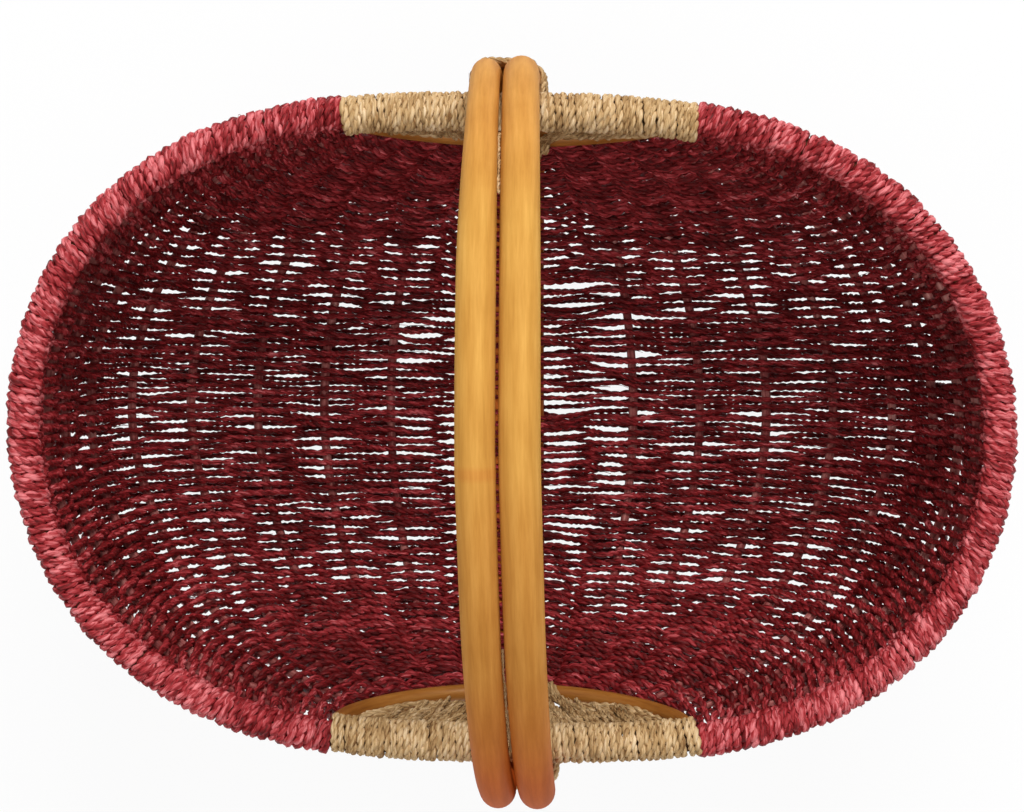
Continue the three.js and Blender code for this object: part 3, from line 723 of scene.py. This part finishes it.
# Straw ears: rows hang from rim to rim inside each ear, in turn inside and outside the canes,
# and turn round the rim
ears = dict(rows=22, points=300, finePoints=700, step=1.2, smooth=8,
            cord=2.08, out=1.85, lay=10.5, drift=1.6,
            first=18.9, short=1.2, inset=1.5, top=181.0, topDrop=16.0, lowest=5.0, endAngle=0.12,
            sag=0.55, bulge=0.8, ripple=0.9, lean=1.3, tilt=3.0, tiltSpread=0.4,
            wrapPlace=0.2, wrapWander=0.25, wrapLoose=(-0.2, 0.15), wrapRipple=0.12,
            middleWraps=11, middleHalf=15.5, strays=26, cordSpread=0.06, swell=0.09)
# how a row passes the canes: the places along it, how far outside the canes' middle it lies there,
# and how far from the middle it runs beside the left and the right cane
lashing = dict(at=(8, 13, 21), out=(10, 3, -9), beside=(15.5, 18.8), tight=16, free=30, far=100,
               shiftTo=(20, 45))
# loose strands down the inner face
strays = dict(points=60, top=(24, 74), fall=(8, 22), nearest=19.0, above=3, clear=2, bend=1.2,
              off=(2.2, 3.4), down=(0.6, 0.95), ripple=0.5, size=(0.5, 0.75))
# strands of the lashings, left and right of the canes
tails = dict(front=dict(count=(4, 10), x=(24, 46), z=(150, 172), endX=(8, 16)),
             back=dict(count=(9, 9), x=(22, 36), z=(140, 156), endX=(2, 12)),
             points=60, bend=0.8, ripple=0.6, fall=(50, 70), off=3.2, offCanes=14.5, overBow=(1.2, 2.4),
             bowNear=(26, 5))


# once round the rim, or all the way for the wraps behind the canes
def strawTurn(x, sideSign, earSign, inside, last):
    angle = wrapAngles(inside, last)
    tilt = ears["tilt"] * (1 + rng.normal(0, ears["tiltSpread"]))
    lean = tilt * (math.pi / 2 - angle) / (2 * math.pi)
    at = x - sideSign * earSign * lean + ears["wrapWander"] * wander(wrap["points"], 4)
    slope = rimY(at + 0.5) - rimY(at - 0.5)
    size = np.hypot(slope, 1)
    radius = rim["cane"] + ears["out"] + rng.uniform(*ears["wrapLoose"])
    radius = radius + ears["wrapRipple"] * wander(wrap["points"], 4)
    return np.column_stack([sideSign * (at - slope / size * radius * np.cos(angle)),
                            earSign * (rimY(at) + radius * np.cos(angle) / size),
                            rim["z"] + radius * np.sin(angle)])


# the inner face of an ear: how far in from the rim a cord hangs at a height
def earY(x, z):
    lean = np.clip((rim["z"] - z) / (rim["z"] - bowMidZ), 0, 1) ** ears["lean"]
    return rimY(x) - (rim["wide"] - bowMidY) * lean


# height of the bow's centre line
def bowZ(x):
    return wallTop - (wallTop - bowMidZ) * np.sqrt(np.clip(1 - (x / bow["wide"]) ** 2, 0.02, 1))


# the canes' centre line below the rim
def hoopFace(z):
    deep = np.sqrt(np.clip(1 - ((rim["z"] - z) / hoopDeep) ** 2, 0, 1))
    return hoop["flat"] + (hoopOut - hoop["flat"]) * deep


def strawRow(row, earSign, ends):
    points = ears["points"]
    down = row / (ears["rows"] - 1)
    inside = row % 2 == 0
    halves = [ears["first"] + (end - ears["short"] - ears["first"]) * down for end in ends]
    deepest = ears["top"] - bowMidZ - bow["cane"] - ears["lowest"]
    drop = ears["topDrop"] + (deepest - ears["topDrop"]) * down
    angle = np.linspace(math.pi - ears["endAngle"], ears["endAngle"], points)
    half = np.where(np.cos(angle) < 0, *halves) - ears["inset"]
    x = half * np.cos(angle)
    away = np.abs(x)
    z = ears["top"] - drop * np.sin(angle) + ears["sag"] * (wander(points, 24) + wander(points, 9))
    ripple = (ears["ripple"] if inside else -ears["ripple"]) * np.cos(3 * np.pi * away / half)
    y = earY(x, z) + ripple + ears["bulge"] * wander(points, 16)
    if inside:
        caneY = hoopFace(z) - hoop["cane"] - ears["cord"]
        y = y + (caneY - y) * (1 - smoothstep(lashing["tight"], lashing["free"], away))
    else:  # out along the side of one cane, round both, and back in
        _, turn, outer = lashing["at"]
        caneY = hoopFace(z) + np.interp(away, lashing["at"], lashing["out"])
        y = caneY + (y - caneY) * smoothstep(outer, lashing["free"], away)
        beside = np.where(x < 0, *lashing["beside"])
        behind = beside * np.clip(away / turn, 0, 1) ** 0.9
        onward = beside + (away - outer) * (lashing["far"] - beside) / (lashing["far"] - outer)
        x = np.sign(x) * np.where(away < turn, behind, np.where(away < outer, beside, onward))
    x = x + handleShift(earSign * y, z) * (1 - smoothstep(*lashing["shiftTo"], np.abs(x)))
    turns = [strawTurn(end + rng.normal(0, ears["wrapPlace"]), side, earSign, inside, wrap["last"])
             for end, side in zip(halves, (-1, 1))]
    return np.vstack([turns[0][::-1], np.column_stack([x, earSign * y, z]), turns[1]])


# a loose strand down the inner face, from under the wraps towards the canes
def strawStray(earSign, side):
    top = rng.uniform(*strays["top"])
    fall = rng.uniform(*strays["fall"])
    share = np.linspace(0, 1, strays["points"])
    x = np.maximum(top - fall * share + wander(strays["points"], 5), strays["nearest"])
    start = ears["top"] + strays["above"]
    deepest = start - bowZ(x) - bow["cane"] - strays["clear"]
    z = start - deepest * share ** strays["bend"] * rng.uniform(*strays["down"])
    y = earY(x, z) - rng.uniform(*strays["off"]) + strays["ripple"] * wander(strays["points"], 6)
    return np.column_stack([side * x, earSign * y, z])


# a strand of a lashing, over the bow and down the wall beside the canes
def strawTail(earSign, side, tail):
    share = np.linspace(0, 1, tails["points"])
    startX = rng.uniform(*tail["x"])
    x = startX + (rng.uniform(*tail["endX"]) - startX) * share ** tails["bend"]
    x = x + tails["ripple"] * wander(tails["points"], 5)
    z = rng.uniform(*tail["z"]) - rng.uniform(*tails["fall"]) * share
    stand = bow["cane"] + rng.uniform(*tails["overBow"])
    stand = np.sqrt(np.clip(stand ** 2 - (z - bowZ(x)) ** 2, 0, None))
    y = np.minimum(earY(x, z) - tails["off"], hoopFace(z) - tails["offCanes"])
    far, close = tails["bowNear"]
    y = y + (np.minimum(y, bowMidY - stand) - y) * smoothstep(bowZ(x) + far, bowZ(x) + close, z)
    return np.column_stack([side * x + handleShift(earSign * y, z), earSign * y, z])


for ear, earSign in (("front", -1), ("back", 1)):
    ends = bandEnds[ear]
    raw = [strawRow(row, earSign, ends) for row in range(ears["rows"])]
    middle = np.linspace(-ears["middleHalf"], ears["middleHalf"], ears["middleWraps"])
    raw += [strawTurn(x, 1, earSign, True, wrap["closed"]) for x in middle]
    strayFrom = len(raw)
    raw += [strawStray(earSign, side) for side in (-1, 1) for _ in range(ears["strays"])]
    for side, count in zip((-1, 1), tails[ear]["count"]):
        raw += [strawTail(earSign, side, tails[ear]) for _ in range(count)]
    lines, sizes, tones = [], [], []
    for index, points in enumerate(raw):
        whole, length = evenly(points, ears["finePoints"])
        line, length = evenly(relax(whole, ears["smooth"]), int(length / ears["step"]))
        swell = 1 + rng.normal(0, ears["cordSpread"])
        swell = swell * (1 + ears["swell"] * wander(len(line), max(3, int(length / 9))))
        lines.append(line)
        size = ears["cord"] if index < strayFrom else ears["cord"] * rng.uniform(*strays["size"])
        sizes.append(size * swell)
        tones.append(rng.uniform(0, 1))
    mesh = layCord("straw_ear_" + ear, lines, sizes, tones, ears["lay"], ears["drift"])
    addPiece(mesh, strawGrass,
             [f"straw_rim_winding_{ear}_left", f"straw_rim_winding_{ear}_right", f"ear_panel_{ear}_left",
              f"ear_panel_{ear}_right", f"handle_lashing_{ear}"])
    addFibres("straw_fibres_" + ear, lines, sizes, fibre["straw"], strawGrass)
print("straw ears made")

# Cords in the groove between the two canes, near each end of the arch
groove = dict(points=160, finePoints=120, cord=0.65, out=0.3, lay=5.0, drift=1.0, uneven=0.3, tone=0.35,
              front=(40, 62), back=(38, 51))
for ear, earSign in (("front", -1), ("back", 1)):
    angle = np.radians(np.linspace(*groove[ear], groove["points"]))
    run = np.column_stack([hoopOut * np.cos(angle), hoop["rise"] * np.sin(angle)])
    out = np.column_stack([np.cos(angle) / hoopOut, np.sin(angle) / hoop["rise"]])
    out = out / np.linalg.norm(out, axis=1)[:, None]
    run += out * (groove["out"] + groove["uneven"] * wander(groove["points"], 12))[:, None]
    x = groove["uneven"] * wander(groove["points"], 10)
    line = np.column_stack([x, earSign * run[:, 0], rim["z"] + run[:, 1]])
    line[:, 0] += handleShift(line[:, 1], line[:, 2])
    line, _ = evenly(line, groove["finePoints"])
    size = groove["cord"] * (1 + groove["uneven"] * wander(groove["finePoints"], 20))
    mesh = layCord("groove_cord_" + ear, [line], [size], [groove["tone"]], groove["lay"], groove["drift"])
    addPiece(mesh, strawGrass)
print("groove cords made")

# Floor with a far backdrop all round. It looks nearly white and takes a faint shadow
studio = dict(half=40.0, high=16.0, grey=0.86, rough=0.9, shine=0.1, glow=0.92, world=0.36)
corners = [(x * studio["half"], y * studio["half"]) for x, y in ((-1, -1), (1, -1), (1, 1), (-1, 1))]
floorMesh = bpy.data.meshes.new("floor")
floorMesh.from_pydata([(x, y, z) for z in (0, studio["high"]) for x, y in corners], [],
                      [(0, 1, 2, 3)] + [(i, (i + 1) % 4, (i + 1) % 4 + 4, i + 4) for i in range(4)])
floor = bpy.data.objects.new("floor", floorMesh)
bpy.context.scene.collection.objects.link(floor)
floorLook, tree, bsdf = newMaterial("pale floor")
bsdf.inputs["Base Color"].default_value = (studio["grey"], studio["grey"], studio["grey"], 1)
bsdf.inputs["Roughness"].default_value = studio["rough"]
bsdf.inputs["Specular IOR Level"].default_value = studio["shine"]
rays = addNode(tree, "ShaderNodeLightPath")
seen = addNode(tree, "ShaderNodeMath", operation="MAXIMUM")
tree.links.new(rays.outputs["Is Camera Ray"], seen.inputs[0])
tree.links.new(rays.outputs["Is Glossy Ray"], seen.inputs[1])
seenAll = addNode(tree, "ShaderNodeMath", operation="MAXIMUM")
tree.links.new(seen.outputs["Value"], seenAll.inputs[0])
tree.links.new(rays.outputs["Is Transmission Ray"], seenAll.inputs[1])
glowShare = addNode(tree, "ShaderNodeMath", operation="MULTIPLY")
glowShare.inputs[1].default_value = studio["glow"]
tree.links.new(seenAll.outputs["Value"], glowShare.inputs[0])
glow = addNode(tree, "ShaderNodeEmission", in_Strength=1.0)
glow.inputs["Color"].default_value = (1, 1, 1, 1)
both = addNode(tree, "ShaderNodeMixShader")
tree.links.new(glowShare.outputs["Value"], both.inputs["Fac"])
tree.links.new(bsdf.outputs["BSDF"], both.inputs[1])
tree.links.new(glow.outputs["Emission"], both.inputs[2])
tree.links.new(both.outputs["Shader"], tree.nodes["Material Output"].inputs["Surface"])
floorMesh.materials.append(floorLook)

world = bpy.data.worlds.new("studio")
bpy.context.scene.world = world
world.use_nodes = True
world.node_tree.nodes["Background"].inputs["Color"].default_value = (1, 1, 1, 1)
world.node_tree.nodes["Background"].inputs["Strength"].default_value = studio["world"]

# Lamps in metres and watts, all aimed at the basket: the key stands behind, and the fills in front
lamps = {"key": dict(place=(0.3, 1.6, 1.8), size=1.3, power=48),
         "top": dict(place=(0, -0.3, 2.1), size=1.2, power=6),
         "left fill": dict(place=(-1.3, -0.9, 1.5), size=1.2, power=7.5),
         "right fill": dict(place=(1.3, -0.9, 1.5), size=1.2, power=6.5)}
aim = Vector((0, 0, 0.15))
for name, lamp in lamps.items():
    light = bpy.data.lights.new(name, "AREA")
    light.size = lamp["size"]
    light.energy = lamp["power"]
    holder = bpy.data.objects.new(name, light)
    holder.location = lamp["place"]
    holder.rotation_euler = (aim - Vector(lamp["place"])).to_track_quat("-Z", "Y").to_euler()
    bpy.context.scene.collection.objects.link(holder)

# Camera looking straight down: height, foot and sensor in millimetres, the rest in pixels
view = dict(height=1395.0, foot=(0.0, 75.0), sensor=36,
            focal=2508.0, centre=(512.0, 427.0), size=(1024, 812))
camera = bpy.data.cameras.new("camera")
camera.sensor_width = view["sensor"]
camera.lens = view["focal"] * view["sensor"] / view["size"][0]
scale = view["focal"] / (view["height"] - rim["z"])
camera.shift_x = -(view["centre"][0] - (view["size"][0] / 2 - scale * view["foot"][0])) / view["size"][0]
camera.shift_y = (view["centre"][1] - (view["size"][1] / 2 + scale * view["foot"][1])) / view["size"][0]
eye = bpy.data.objects.new("camera", camera)
eye.location = (view["foot"][0] / 1000, view["foot"][1] / 1000, view["height"] / 1000)
bpy.context.scene.collection.objects.link(eye)
bpy.context.scene.camera = eye
bpy.context.scene.view_settings.view_transform = "Standard"

print("scene ready")
